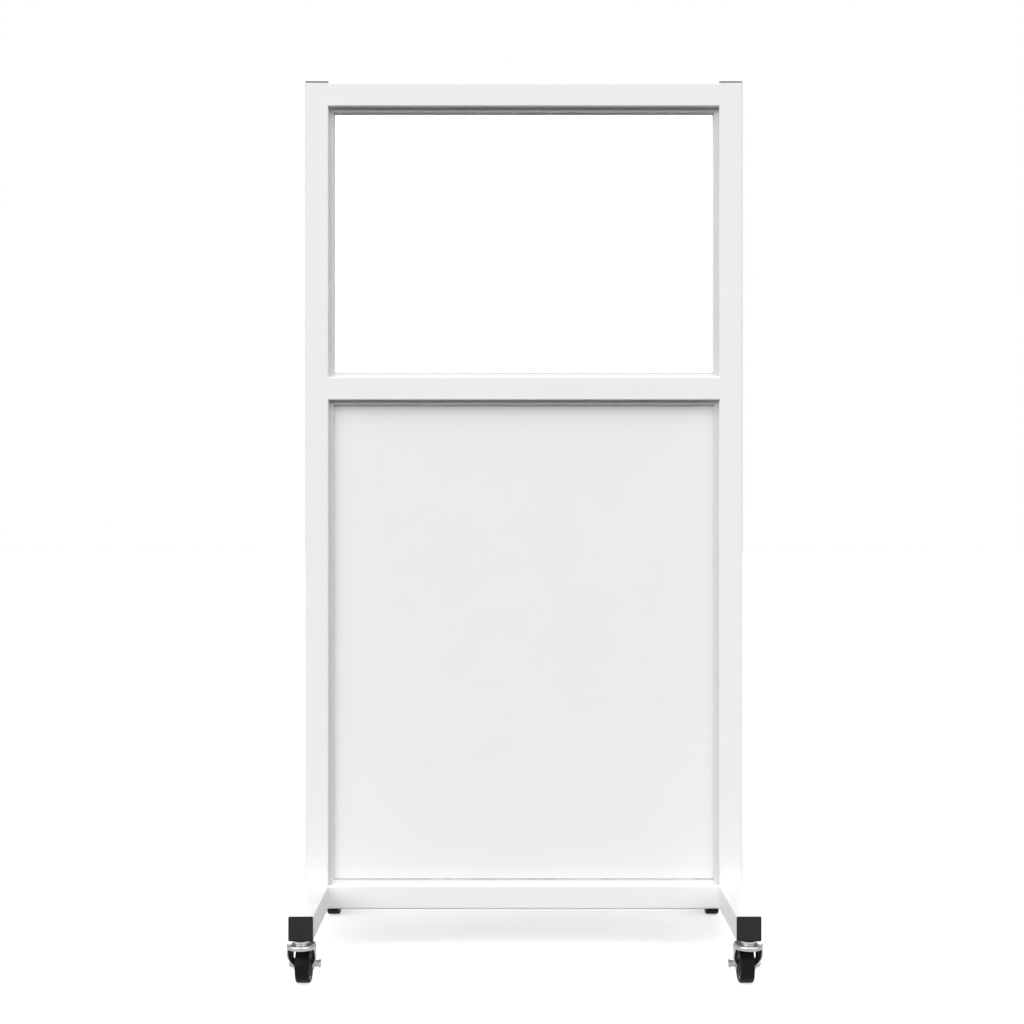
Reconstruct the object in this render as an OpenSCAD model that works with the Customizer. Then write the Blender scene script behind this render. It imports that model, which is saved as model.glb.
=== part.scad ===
// Mobile lead barrier: a welded frame of square tube on two base legs, with a
// lead glass window above, a lead-lined panel below and four swivel casters.
// Millimetres. +Z is up, +X is to the right as seen from the front, and the
// front faces -Y. The origin is on the floor, at the middle of the whole
// object's width and depth.

/* [Overall] */
// Width over the two posts
frame_w = 955; // [700:5:1400]
// Height of the posts' cut ends above the floor
post_top = 1901; // [1700:1:2200]
// Height of the middle rail's top edge above the floor
middle_rail_top = 1259; // [1000:1:1400]
// Length of each base leg's tube, front to back
leg_l = 518; // [420:2:760]
// How far the top rail sits below the posts' cut ends
top_rail_drop = 1; // [0.5:0.5:4]

/* [Square tube] */
// Side of the square tube
tube = 50.8; // [46:0.2:60]
// Wall of the square tube
tube_wall = 2; // [1.5:0.25:2.5]
// Outer corner radius of the square tube
tube_corner = 3; // [2.75:0.25:5]
// Fit-up clearance left between welded tubes
fit_up = 0.05; // [0.02:0.01:0.2]

/* [End caps] */
// Thickness of a cap's visible flange
cap_flange = 3; // [2:0.5:5]
// Size of the step round a cap's flange
cap_edge = 0.75; // [0.5:0.25:1.25]
// How far a cap's flange stays inside the tube's outline
cap_inset = 0.5; // [0.2:0.1:1.5]
// Depth of a cap's plug in the tube
cap_plug = 14; // [8:1:24]
// Wall of a cap's plug
cap_wall = 2; // [1.5:0.25:3]
// Clearance of a cap's plug in the tube
cap_clear = 0.1; // [0.05:0.05:0.3]

/* [Glazing] */
// Thickness of the lead glass pane
glass_t = 7; // [6:0.5:10]
// Thickness of the gasket tape on each side of the pane
gasket_t = 1.5; // [1:0.25:2.5]
// How far the gasket tape shows beyond the beads
gasket_show = 3.25; // [1:0.25:5]
// Width of a glazing bead, as seen from the front
bead_w = 9.4; // [7:0.1:12]
// Depth of a glazing bead, front to back
bead_d = 6; // [5.5:0.5:8]
// Edge radius of a glazing bead
bead_r = 0.6; // [0.3:0.1:1.2]
// Gap at each mitred corner of the beads
mitre_gap = 0.15; // [0.05:0.05:0.4]
// Clearance between the pane's edge and the tubes
pane_gap = 3; // [2:0.5:4.5]
// Length of a setting block under the pane
block_l = 60; // [30:5:100]

/* [Lead-lined panel] */
// Thickness of each steel skin of the panel
skin_t = 1.2; // [0.8:0.2:1.6]
// Thickness of the lead sheet in the panel and in the tubes
lead_t = 2; // [1:0.5:3]
// Clearance between the panel's edge and the tubes
panel_gap = 0.5; // [0.3:0.1:2]
// How far the lead strips in the tubes stay off the tube's inner corners
strip_margin = 3; // [2:0.5:8]

/* [Bead screws] */
// Shank diameter of the countersunk screws in the rear beads
screw_d = 3; // [2.5:0.1:3]
// Diameter of a screw's head
screw_head_d = 5.2; // [4.8:0.1:5.3]
// Length of a screw under its head
screw_l = 14; // [12:1:20]
// Greatest spacing of the screws
screw_pitch = 260; // [150:10:400]
// Distance of the end screws from the bead's ends
screw_end = 45; // [30:5:80]
// Clearance of a screw in its hole
screw_clear = 0.05; // [0.03:0.01:0.2]

/* [Casters] */
// Distance of the swivel axis from the end of the leg's tube
caster_inset = 10; // [8:0.5:30]
// Wheel diameter over the tyre
wheel_d = 76.2; // [65:0.1:90]
// Width of the tyre
tyre_w = 29; // [24:0.5:32]
// Thickness of the tyre
tyre_t = 9; // [6:0.5:12]
// Rounding of the tyre's shoulders
tyre_r = 3; // [2:0.5:5]
// Trail of the axle behind the swivel axis
trail = 38; // [30:1:48]
// Outer radius of the fork's crown
crown_r = 30; // [27:0.5:34]
// Height of the fork's crown
crown_h = 10.4; // [8:0.2:14]
// Shoulder radius of the fork's crown
crown_shoulder = 4.5; // [3:0.25:6]
// Thickness of the fork's pressed sheet
fork_t = 2.6; // [2:0.1:3.4]
// Air between the top of the tyre and the crown's rim
tyre_air = 6.4; // [5:0.2:12]
// Height of the fixed race between the leg and the crown
race_h = 4; // [3:0.25:6]
// Radius of the fixed race
race_r = 17; // [15:0.5:20]
// Air between the fixed race and the crown
race_air = 0.6; // [0.4:0.1:1]
// Diameter of the swivel balls
ball_d = 4; // [3:0.25:4.5]
// Number of swivel balls in a caster
ball_count = 14; // [8:1:16]
// Radius of the circle that the swivel balls run on
ball_circle = 12.5; // [11:0.25:13]
// Radius of the threaded stem and kingpin
stem_r = 6; // [5:0.25:6.5]
// Radius of the kingpin's rivet head under the crown
rivet_r = 11; // [9:0.5:13]
// Height of the kingpin's rivet head
rivet_h = 3.6; // [2.5:0.1:5]
// Running clearance of every turning fit, on the radius
run_fit = 0.06; // [0.02:0.01:0.1]

/* [Axle] */
// Radius of the axle bolt
axle_r = 4.76; // [4:0.01:5.5]
// Wall of the sleeve that the wheel runs on
sleeve_wall = 1.8; // [1.5:0.1:3]
// Clearance of the axle bolt in the sleeve, nut and fork
axle_clear = 0.05; // [0.03:0.01:0.1]
// Width of the axle bolt's hexagon over its flats
hex_af = 15; // [13:0.5:17]
// Height of the axle bolt's head
head_h = 5; // [4:0.5:7]
// Length of the spacer between the inboard head and the fork
spacer_l = 9; // [4:0.5:12]
// Outer radius of the spacer
spacer_r = 6.6; // [6.2:0.1:8]
// Height of the outboard nut
nut_h = 9.5; // [7:0.5:12]
// How far the bolt's end stands out of the nut
bolt_end = 1.5; // [0.5:0.5:4]
// Half of the inner width between the fork's arms at the axle
fork_half = 18; // [17:0.25:22]
// Radius of the fork arm's rounded end
arm_end_r = 12; // [11:0.5:15]
// How far an arm's front edge stands ahead of the swivel axis
arm_lead = 12; // [8:0.5:16]
// Where an arm leaves the round of the crown, behind the swivel axis
arm_bend = 18; // [14:0.5:19]
// Where an arm's front edge turns back towards the axle, behind the swivel axis
arm_knee = 3; // [0:0.5:6]
// Height of that turn above the axle
arm_knee_h = 23; // [20:0.5:26]
// How far an arm's sheet sits inside the crown's rim
arm_sink = 0.2; // [0.1:0.1:0.6]
// Where an arm's rear edge leaves the crown, behind the swivel axis
arm_back = 22; // [20:0.5:25]
// Height above the axle at which an arm's rear edge turns back towards it
arm_throat_h = 16; // [14:0.5:20]
// Axial clearance of the wheel hub between the fork's arms
hub_air = 0.5; // [0.3:0.1:1]
// Radius of the wheel's hub
hub_r = 13; // [12:0.5:16]
// Thickness of the wheel's web
web_t = 9; // [6:0.5:14]
// Thickness of the wheel's rim under the tyre
rim_t = 3.2; // [2.5:0.1:5]
// Number of ribs on each face of the wheel's web
rib_count = 6; // [4:1:10]
// Thickness of a rib
rib_t = 2.4; // [1.5:0.1:4]
// How far the ribs stay inside the rim's edge
rib_inset = 3; // [2:0.5:5]

/* [Leg blocks] */
// Width of the threaded block inside the leg's end
block_w = 38; // [30:1:39]
// Height of the threaded block
block_h = 11; // [8:0.5:14]
// How far the threaded block stays inside the leg's end
block_inset = 0.5; // [0.3:0.1:0.8]
// Gap between the threaded block and the cap's plug
block_air = 0.5; // [0.3:0.1:2]

/* [Hidden] */
$fn = 64;
inner = tube - 2 * tube_wall;
inner_corner = tube_corner - tube_wall;
// How deep every cutting tool runs past the face it cuts
past = 1;
hex_sides = 6;

// Caster heights, from the floor up
wheel_r = wheel_d / 2;
crown_rim_z = wheel_d + tyre_air;
crown_top_z = crown_rim_z + crown_h;
leg_bottom = crown_top_z + race_air + race_h;
leg_top = leg_bottom + tube;

// The swivel axes are centred on the origin but for the trail, which moves
// the frame forward by half of what the wheels stand out behind
caster_y = leg_l / 2 - caster_inset;
frame_y = -(trail + wheel_r - crown_r) / 2;
post_x = frame_w / 2 - tube / 2;
open_half = frame_w / 2 - tube;

// Openings, as [lowest z, highest z]
top_rail_z = post_top - top_rail_drop - tube / 2;
middle_rail_z = middle_rail_top - tube / 2;
bottom_rail_z = leg_bottom + tube / 2;
window = [middle_rail_z + tube / 2, top_rail_z - tube / 2];
bay = [bottom_rail_z + tube / 2, middle_rail_z - tube / 2];

// Depths of the glazing, measured from the frame's middle plane
glazing_half = glass_t / 2 + gasket_t;
stop_y = glazing_half + bead_d / 2;
core_t = 2 * glazing_half - 2 * skin_t - lead_t;

CORNERS = [["front_left", -1, -1], ["front_right", 1, -1], ["rear_left", -1, 1], ["rear_right", 1, 1]];
CASTER_PIECES = ["caster_stem", "swivel_balls", "caster_fork", "axle_set", "wheel_core", "tyre"];
FRAME_NODES = [
    "left_upright", "right_upright", "top_rail", "middle_rail", "bottom_rail",
    "left_base_leg", "right_base_leg", "left_upright_cap", "right_upright_cap",
    "front_left_leg_cap", "front_right_leg_cap", "rear_left_leg_cap", "rear_right_leg_cap",
    "caster_mount_blocks", "frame_lead_lining"
];
WINDOW_NODES = [
    "lead_glass_pane", "window_front_gasket", "window_rear_gasket", "glass_setting_blocks",
    "window_front_top_bead", "window_front_bottom_bead", "window_front_side_beads",
    "window_rear_top_bead", "window_rear_bottom_bead", "window_rear_side_beads"
];
PANEL_NODES = [
    "panel_front_skin", "panel_lead_sheet", "panel_core_board", "panel_rear_skin",
    "panel_front_top_bead", "panel_front_bottom_bead", "panel_front_side_beads",
    "panel_rear_top_bead", "panel_rear_bottom_bead", "panel_rear_side_beads", "bead_screws"
];
CASTER_NODES = [for (c = CORNERS) for (piece = CASTER_PIECES) str(c[0], "_", piece)];

// Rectangle with round corners, made of true arcs
module round_rect(w, d, r) {
    square([w - 2 * r, d], center = true);
    square([w, d - 2 * r], center = true);
    for (x = [-1, 1], y = [-1, 1])
        translate([x * (w / 2 - r), y * (d / 2 - r)])
            circle(r = r);
}

// Solid outline of the square tube, grown by g, standing along +Z from 0
module tube_solid(l, g = 0) {
    linear_extrude(l)
        round_rect(tube + 2 * g, tube + 2 * g, tube_corner + g);
}

// The square tube itself, standing along +Z from 0
module tube_run(l) {
    linear_extrude(l)
        difference() {
            round_rect(tube, tube, tube_corner);
            round_rect(inner, inner, inner_corner);
        }
}

// Turns what stands along +Z to lie along +X, centred, at height z
module along_x(l, z) {
    translate([-l / 2, 0, z])
        rotate([90, 0, 90])
            children();
}

// Turns what stands along +Z to lie along +Y, centred, at place x and height z
module along_y(l, x, z) {
    translate([x, l / 2, z])
        rotate([90, 0, 0])
            children();
}

// The two solid legs and the two solid posts, as the tools that cope the ends of what meets them
module leg_tools() {
    for (s = [-1, 1])
        along_y(leg_l + 2 * past, s * post_x, leg_bottom + tube / 2)
            tube_solid(leg_l + 2 * past, fit_up);
}

module post_tools() {
    for (s = [-1, 1])
        translate([s * post_x, 0, leg_bottom])
            tube_solid(post_top - leg_bottom + past, fit_up);
}

// Number of screws in a bead of length l, and their places along it
function screw_count(l) = max(2, ceil((l - 2 * screw_end) / screw_pitch) + 1);
function screw_places(l) =
    let (n = screw_count(l), run = l - 2 * screw_end)
    [for (i = [0 : n - 1]) -run / 2 + i * run / (n - 1)];

// Places children at each screw of the rear beads round one opening, standing
// on the tube's wall with +Z pointing into the opening
module at_screws(o) {
    w = 2 * open_half;
    h = o[1] - o[0];
    for (p = screw_places(w)) {
        translate([p, stop_y, o[0]])
            children();
        translate([p, stop_y, o[1]])
            rotate([0, 180, 0])
                children();
    }
    for (p = screw_places(h), s = [-1, 1])
        translate([s * open_half, stop_y, (o[0] + o[1]) / 2 + p])
            rotate([0, -s * 90, 0])
                children();
}

// A countersunk screw in a bead, grown by g: its head is flush with the bead's inner edge
module screw(g = 0) {
    head_r = screw_head_d / 2 + g;
    shank_r = screw_d / 2 + g;
    translate([0, 0, bead_w - screw_l])
        cylinder(r = shank_r, h = screw_l);
    translate([0, 0, bead_w - (head_r - shank_r)])
        cylinder(r1 = shank_r, r2 = head_r, h = head_r - shank_r);
}

module screw_holes() {
    for (o = [window, bay])
        at_screws(o)
            screw(screw_clear);
}

module frame_shift() {
    translate([0, frame_y, 0])
        children();
}

// Post: stands on its leg, with the lower end coped over the leg's round edges
module upright(side) {
    frame_shift()
        color("white")
        difference() {
            translate([side * post_x, 0, leg_top - tube_corner])
                tube_run(post_top - leg_top + tube_corner);
            leg_tools();
            screw_holes();
        }
}

// Cross rail: its ends are coped to the posts' round edges
module rail(z) {
    l = 2 * (open_half + tube_corner);
    frame_shift()
        color("white")
        difference() {
            along_x(l, z)
                tube_run(l);
            post_tools();
            leg_tools();
            screw_holes();
        }
}

// Base leg, with a hole near each end for a caster's stem
module base_leg(side) {
    frame_shift()
        color("white")
        difference() {
            along_y(leg_l, side * post_x, leg_bottom + tube / 2)
                tube_run(leg_l);
            for (y = [-1, 1])
                translate([side * post_x, y * caster_y, leg_bottom - past])
                    cylinder(r = stem_r + run_fit, h = tube_wall + 2 * past);
        }
}

// Push-in cap for a tube's end, with its flange above 0 and its plug below
module tube_cap(plug_cut = 0) {
    side = tube - 2 * cap_inset;
    plug = inner - 2 * cap_clear;
    plug_r = inner_corner;
    flange_r = tube_corner - cap_inset;
    color("dimgray") {
        linear_extrude(cap_flange - cap_edge)
            round_rect(side, side, flange_r);
        translate([0, 0, cap_flange - cap_edge])
            linear_extrude(cap_edge)
                round_rect(side - cap_edge, side - cap_edge, flange_r - cap_edge / 2);
        difference() {
            translate([0, 0, -cap_plug])
                linear_extrude(cap_plug)
                    difference() {
                        round_rect(plug, plug, plug_r);
                        square(plug - 2 * cap_wall, center = true);
                    }
            translate([-tube, -tube / 2 - past, -cap_plug - past])
                cube([2 * tube, plug_cut + past, cap_plug + past]);
        }
    }
}

module upright_cap(side) {
    frame_shift()
        translate([side * post_x, 0, post_top])
            tube_cap();
}

// Leg cap: the plug stops above the threaded block
module leg_cap(side, front) {
    cut = tube_wall + block_h + block_air;
    frame_shift()
        translate([side * post_x, front * leg_l / 2, leg_bottom + tube / 2])
            rotate([90, 0, front < 0 ? 0 : 180])
                tube_cap(cut);
}

// Threaded blocks welded inside the leg ends, which take the caster stems
module caster_mount_blocks() {
    l = 2 * (caster_inset - block_inset);
    frame_shift()
        color("gray")
        for (s = [-1, 1], f = [-1, 1])
            translate([s * post_x, f * caster_y, leg_bottom + tube_wall])
                difference() {
                    translate([-block_w / 2, -l / 2, 0])
                        cube([block_w, l, block_h]);
                    translate([0, 0, -past])
                        cylinder(r = stem_r + run_fit, h = block_h + 2 * past);
                }
}

// Lead strips bonded to the rear wall inside every tube of the frame
module frame_lead_lining() {
    w = inner - 2 * inner_corner - 2 * strip_margin;
    y = inner / 2 - lead_t;
    post_l = post_top - cap_plug - strip_margin - leg_top;
    rail_l = 2 * open_half;
    frame_shift()
        color("slategray") {
            for (s = [-1, 1])
                translate([s * post_x - w / 2, y, leg_top])
                    cube([w, lead_t, post_l]);
            for (z = [top_rail_z, middle_rail_z, bottom_rail_z])
                translate([-rail_l / 2, y, z - w / 2])
                    cube([rail_l, lead_t, w]);
        }
}

// Plate that fills an opening but for a gap round its edge, from depth y0 and t thick
module plate(o, gap, y0, t) {
    translate([-open_half + gap, y0, o[0] + gap])
        cube([2 * (open_half - gap), t, o[1] - o[0] - 2 * gap]);
}

module lead_glass_pane() {
    frame_shift()
        color("lightcyan", 0.35)
        plate(window, pane_gap, -glass_t / 2, glass_t);
}

// Gasket tape: a thin frame between the pane and the beads, side -1 in front
module gasket(side) {
    frame_shift()
        color("silver")
        difference() {
            plate(window, pane_gap, side < 0 ? -glazing_half : glass_t / 2, gasket_t);
            plate(window, bead_w + gasket_show, -glazing_half - past, 2 * glazing_half + 2 * past);
        }
}

// Two blocks that carry the pane's weight on the middle rail
module glass_setting_blocks() {
    frame_shift()
        color("black")
        for (s = [-1, 1])
            translate([s * open_half / 2 - block_l / 2, -glass_t / 2, window[0]])
                cube([block_l, glass_t, pane_gap]);
}

// Bar of bead section along +X, its back on z = 0, with both ends mitred
module bead_bar(l) {
    cut = 2 * (bead_w + past);
    difference() {
        translate([0, 0, bead_w / 2])
            rotate([90, 0, 90])
                translate([0, 0, -l / 2])
                    linear_extrude(l)
                        round_rect(bead_d, bead_w, bead_r);
        for (s = [-1, 1])
            translate([s * (l / 2 - mitre_gap), 0, 0])
                rotate([0, -s * 45, 0])
                    translate([s > 0 ? 0 : -cut, -bead_d, -cut / 2])
                        cube([cut, 2 * bead_d, 2 * cut]);
    }
}

// The beads round an opening: edge is "bottom", "top" or "sides", and side -1 is the front
module bead(o, edge, side) {
    h = o[1] - o[0];
    frame_shift()
        color("whitesmoke")
        difference() {
            translate([0, side * stop_y, 0]) {
                if (edge == "bottom")
                    translate([0, 0, o[0]])
                        bead_bar(2 * open_half);
                if (edge == "top")
                    translate([0, 0, o[1]])
                        rotate([0, 180, 0])
                            bead_bar(2 * open_half);
                if (edge == "sides")
                    for (s = [-1, 1])
                        translate([s * open_half, 0, o[0] + h / 2])
                            rotate([0, -s * 90, 0])
                                bead_bar(h);
            }
            if (side > 0)
                at_screws(o)
                    screw(screw_clear);
        }
}

module bead_screws() {
    frame_shift()
        color("silver")
        for (o = [window, bay])
            at_screws(o)
                screw();
}

// Layers of the panel, from the front: skin, core board, lead sheet, skin
module panel_front_skin() {
    frame_shift()
        color("white")
        plate(bay, panel_gap, -glazing_half, skin_t);
}

module panel_core_board() {
    frame_shift()
        color("burlywood")
        plate(bay, panel_gap, -glazing_half + skin_t, core_t);
}

module panel_lead_sheet() {
    frame_shift()
        color("slategray")
        plate(bay, panel_gap, glazing_half - skin_t - lead_t, lead_t);
}

module panel_rear_skin() {
    frame_shift()
        color("white")
        plate(bay, panel_gap, glazing_half - skin_t, skin_t);
}

// Stands children on a caster's swivel axis, with +X pointing outboard
module at_corner(c) {
    translate([c[1] * post_x, frame_y + c[2] * caster_y, 0])
        mirror([c[1] < 0 ? 1 : 0, 0, 0])
            children();
}

// Groove that a swivel ball runs in
module ball_groove() {
    translate([0, 0, crown_top_z + race_air / 2])
        rotate_extrude()
            translate([ball_circle, 0])
                circle(r = ball_d / 2 + run_fit);
}

// Threaded stem, fixed race and kingpin, with the rivet head that carries the fork
module caster_stem() {
    rivet_z = crown_top_z - fork_t - run_fit - rivet_h;
    color("silver")
    difference() {
        union() {
            translate([0, 0, leg_bottom - race_h])
                cylinder(r = race_r, h = race_h);
            translate([0, 0, rivet_z])
                cylinder(r = stem_r, h = leg_bottom + tube_wall + block_h - rivet_z);
            translate([0, 0, rivet_z])
                cylinder(r = rivet_r, h = rivet_h);
        }
        ball_groove();
    }
}

module swivel_balls() {
    color("gainsboro")
        for (i = [0 : ball_count - 1])
            rotate([0, 0, i * 360 / ball_count])
                translate([ball_circle, 0, crown_top_z + race_air / 2])
                    sphere(r = ball_d / 2);
}

// Point where a line from p touches the circle of radius r about c, on the side given
function touch(p, c, r, side) =
    let (v = p - c, d = norm(v), a = atan2(v[1], v[0]) + side * acos(r / d))
    c + r * [cos(a), sin(a)];

// Side view of a fork arm, as [y, z]: a blade that drops from the crown and turns back to a
// round end at the axle
module arm_side() {
    axle = [trail, wheel_r];
    front = [-arm_lead, crown_rim_z];
    knee = [arm_knee, wheel_r + arm_knee_h];
    throat = [arm_back, wheel_r + arm_throat_h];
    top = crown_top_z - crown_shoulder;
    polygon([
        front,
        knee,
        touch(knee, axle, arm_end_r, 1),
        axle,
        touch(throat, axle, arm_end_r, -1),
        throat,
        [arm_back, top],
        [-arm_lead, top]
    ]);
    translate(axle)
        circle(r = arm_end_r);
}

// Plan of the outboard arm: round with the crown, drawn in behind it, parallel at the axle.
// The arm sits a little inside the crown's rim, so that the two sheets join soundly.
module arm_plan() {
    seat = trail - arm_end_r;
    reach = trail + arm_end_r + past;
    outer_r = crown_r - arm_sink;
    inner_r = outer_r - fork_t;
    narrow = fork_half + fork_t;
    intersection() {
        difference() {
            circle(r = outer_r);
            circle(r = inner_r);
        }
        translate([0, -arm_lead])
            square([crown_r, arm_lead + arm_bend]);
    }
    polygon([
        [sqrt(pow(outer_r, 2) - pow(arm_bend, 2)), arm_bend],
        [narrow, seat],
        [narrow, reach],
        [narrow - fork_t, reach],
        [narrow - fork_t, seat],
        [sqrt(pow(inner_r, 2) - pow(arm_bend, 2)), arm_bend]
    ]);
}

// Pressed fork: a round crown with a turned-down rim, and two arms swept back to the axle
module caster_fork() {
    shoulder_r = crown_r - crown_shoulder;
    color("silver")
    difference() {
        union() {
            translate([0, 0, crown_rim_z])
                rotate_extrude()
                    difference() {
                        crown_half(crown_r, crown_h, crown_shoulder);
                        translate([0, -past])
                            crown_half(crown_r - fork_t, crown_h - fork_t + past, crown_shoulder - fork_t / 2);
                    }
            for (m = [0, 1])
                mirror([m, 0, 0])
                    intersection() {
                        translate([0, 0, wheel_r - arm_end_r - past])
                            linear_extrude(crown_top_z - wheel_r + arm_end_r)
                                arm_plan();
                        rotate([90, 0, 90])
                            linear_extrude(2 * crown_r)
                                arm_side();
                    }
        }
        ball_groove();
        translate([0, 0, crown_rim_z])
            cylinder(r = stem_r + run_fit, h = crown_h + past);
        on_axle(-crown_r)
            cylinder(r = axle_r + axle_clear, h = 2 * crown_r);
    }
}

// Half section of the crown: a bar with one rounded upper corner
module crown_half(r, h, shoulder) {
    square([r - shoulder, h]);
    square([r, h - shoulder]);
    translate([r - shoulder, h - shoulder])
        intersection() {
            circle(r = shoulder);
            square(shoulder);
        }
}

// Lies children along the axle, with +Z pointing outboard, from place x
module on_axle(x) {
    translate([x, trail, wheel_r])
        rotate([0, 90, 0])
            children();
}

module hexagon(h) {
    cylinder(r = hex_af / 2 / cos(180 / hex_sides), h = h, $fn = hex_sides);
}

// Axle bolt with its head inboard, spacer, outboard nut, and the sleeve between the arms
module axle_set() {
    out = fork_half + fork_t;
    head_x = -out - spacer_l - head_h;
    hole_r = axle_r + axle_clear;
    color("silver") {
        on_axle(head_x) {
            hexagon(head_h);
            cylinder(r = axle_r, h = out + nut_h + bolt_end - head_x);
        }
        on_axle(-out - spacer_l)
            difference() {
                cylinder(r = spacer_r, h = spacer_l);
                translate([0, 0, -past])
                    cylinder(r = hole_r, h = spacer_l + 2 * past);
            }
        on_axle(out)
            difference() {
                hexagon(nut_h);
                translate([0, 0, -past])
                    cylinder(r = hole_r, h = nut_h + 2 * past);
            }
        on_axle(-fork_half)
            difference() {
                cylinder(r = axle_r + sleeve_wall, h = 2 * fork_half);
                translate([0, 0, -past])
                    cylinder(r = hole_r, h = 2 * fork_half + 2 * past);
            }
    }
}

// Wheel centre: hub, web, ribs and rim in one moulding
module wheel_core() {
    rim_r = wheel_r - tyre_t;
    hub_half = fork_half - hub_air;
    rim_half = tyre_w / 2 - tyre_r / 2;
    rib_half = rim_half - rib_inset;
    color("gray")
        on_axle(0)
            difference() {
                union() {
                    translate([0, 0, -hub_half])
                        cylinder(r = hub_r, h = 2 * hub_half);
                    translate([0, 0, -web_t / 2])
                        cylinder(r = rim_r - rim_t / 2, h = web_t);
                    for (i = [0 : rib_count - 1])
                        rotate([0, 0, i * 360 / rib_count])
                            translate([0, -rib_t / 2, -rib_half])
                                cube([rim_r - rim_t / 2, rib_t, 2 * rib_half]);
                    difference() {
                        translate([0, 0, -rim_half])
                            cylinder(r = rim_r, h = 2 * rim_half);
                        translate([0, 0, -rim_half - past])
                            cylinder(r = rim_r - rim_t, h = 2 * rim_half + 2 * past);
                    }
                }
                translate([0, 0, -hub_half - past])
                    cylinder(r = axle_r + sleeve_wall + run_fit, h = 2 * hub_half + 2 * past);
            }
}

// Tyre bonded round the wheel centre, with rounded shoulders
module tyre() {
    color("black")
        on_axle(0)
            rotate_extrude()
                translate([wheel_r - tyre_t + fit_up, 0])
                    difference() {
                        translate([(tyre_t - fit_up) / 2 - tyre_r / 2, 0])
                            round_rect(tyre_t - fit_up + tyre_r, tyre_w, tyre_r);
                        translate([-2 * tyre_r, -tyre_w / 2 - past])
                            square([2 * tyre_r, tyre_w + 2 * past]);
                    }
}

// One piece of a caster, by its name
module caster_piece(piece) {
    if (piece == "caster_stem") caster_stem();
    if (piece == "swivel_balls") swivel_balls();
    if (piece == "caster_fork") caster_fork();
    if (piece == "axle_set") axle_set();
    if (piece == "wheel_core") wheel_core();
    if (piece == "tyre") tyre();
}

upright(-1);  // left_upright
upright(1);  // right_upright
rail(top_rail_z);  // top_rail
rail(middle_rail_z);  // middle_rail
rail(bottom_rail_z);  // bottom_rail
base_leg(-1);  // left_base_leg
base_leg(1);  // right_base_leg
upright_cap(-1);  // left_upright_cap
upright_cap(1);  // right_upright_cap
leg_cap(-1, -1);  // front_left_leg_cap
leg_cap(1, -1);  // front_right_leg_cap
leg_cap(-1, 1);  // rear_left_leg_cap
leg_cap(1, 1);  // rear_right_leg_cap
caster_mount_blocks();
frame_lead_lining();
lead_glass_pane();
gasket(-1);  // window_front_gasket
gasket(1);  // window_rear_gasket
glass_setting_blocks();
bead(window, "top", -1);  // window_front_top_bead
bead(window, "bottom", -1);  // window_front_bottom_bead
bead(window, "sides", -1);  // window_front_side_beads
bead(window, "top", 1);  // window_rear_top_bead
bead(window, "bottom", 1);  // window_rear_bottom_bead
bead(window, "sides", 1);  // window_rear_side_beads
panel_front_skin();
panel_lead_sheet();
panel_core_board();
panel_rear_skin();
bead(bay, "top", -1);  // panel_front_top_bead
bead(bay, "bottom", -1);  // panel_front_bottom_bead
bead(bay, "sides", -1);  // panel_front_side_beads
bead(bay, "top", 1);  // panel_rear_top_bead
bead(bay, "bottom", 1);  // panel_rear_bottom_bead
bead(bay, "sides", 1);  // panel_rear_side_beads
bead_screws();
for (c = CORNERS)
    at_corner(c)
        for (piece = CASTER_PIECES)
            caster_piece(piece);
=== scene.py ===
import math

import bmesh
import bpy
from mathutils import Matrix, Vector


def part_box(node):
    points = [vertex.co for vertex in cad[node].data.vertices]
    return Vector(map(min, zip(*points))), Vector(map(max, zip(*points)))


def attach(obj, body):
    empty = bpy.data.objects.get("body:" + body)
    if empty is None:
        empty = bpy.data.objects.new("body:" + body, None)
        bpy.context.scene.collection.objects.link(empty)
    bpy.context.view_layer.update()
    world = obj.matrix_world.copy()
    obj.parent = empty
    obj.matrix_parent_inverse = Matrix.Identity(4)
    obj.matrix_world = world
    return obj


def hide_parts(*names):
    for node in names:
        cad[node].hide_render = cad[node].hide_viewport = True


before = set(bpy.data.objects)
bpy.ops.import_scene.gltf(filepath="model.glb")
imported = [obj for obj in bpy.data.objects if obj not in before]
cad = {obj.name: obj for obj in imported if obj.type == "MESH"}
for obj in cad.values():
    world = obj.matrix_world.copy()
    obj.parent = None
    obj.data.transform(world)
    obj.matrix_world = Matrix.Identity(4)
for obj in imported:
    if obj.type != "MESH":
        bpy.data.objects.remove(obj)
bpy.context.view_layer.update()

# Viewpoint of the photograph: a normal lens on a level camera at chest height, about
# three metres in front of the barrier and a hand's breadth left of its middle.
camera = bpy.data.objects.new("viewpoint", bpy.data.cameras.new("viewpoint"))
camera.data.lens = 50
camera.data.sensor_width = 36
camera.location = (-0.0259, -3.15145, 0.964)
camera.rotation_euler = (math.radians(90), 0, 0)
bpy.context.scene.collection.objects.link(camera)
bpy.context.scene.camera = camera


# Frame tubes: seven lengths of square steel tube, coped and welded into two posts, three
# cross rails and two base legs, then sprayed with white powder and baked. The powder
# leaves a fine orange peel, and wears thin along the outer edges.
def place(tree, kind, values=None, **settings):
    """Adds a node. A value is a constant for the input of that name, or an output to link to it."""
    node = tree.nodes.new(kind)
    for name, setting in settings.items():
        setattr(node, name, setting)
    for name, value in (values or {}).items():
        if isinstance(value, bpy.types.NodeSocket):
            tree.links.new(value, node.inputs[name])
        else:
            node.inputs[name].default_value = value
    return node


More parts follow.
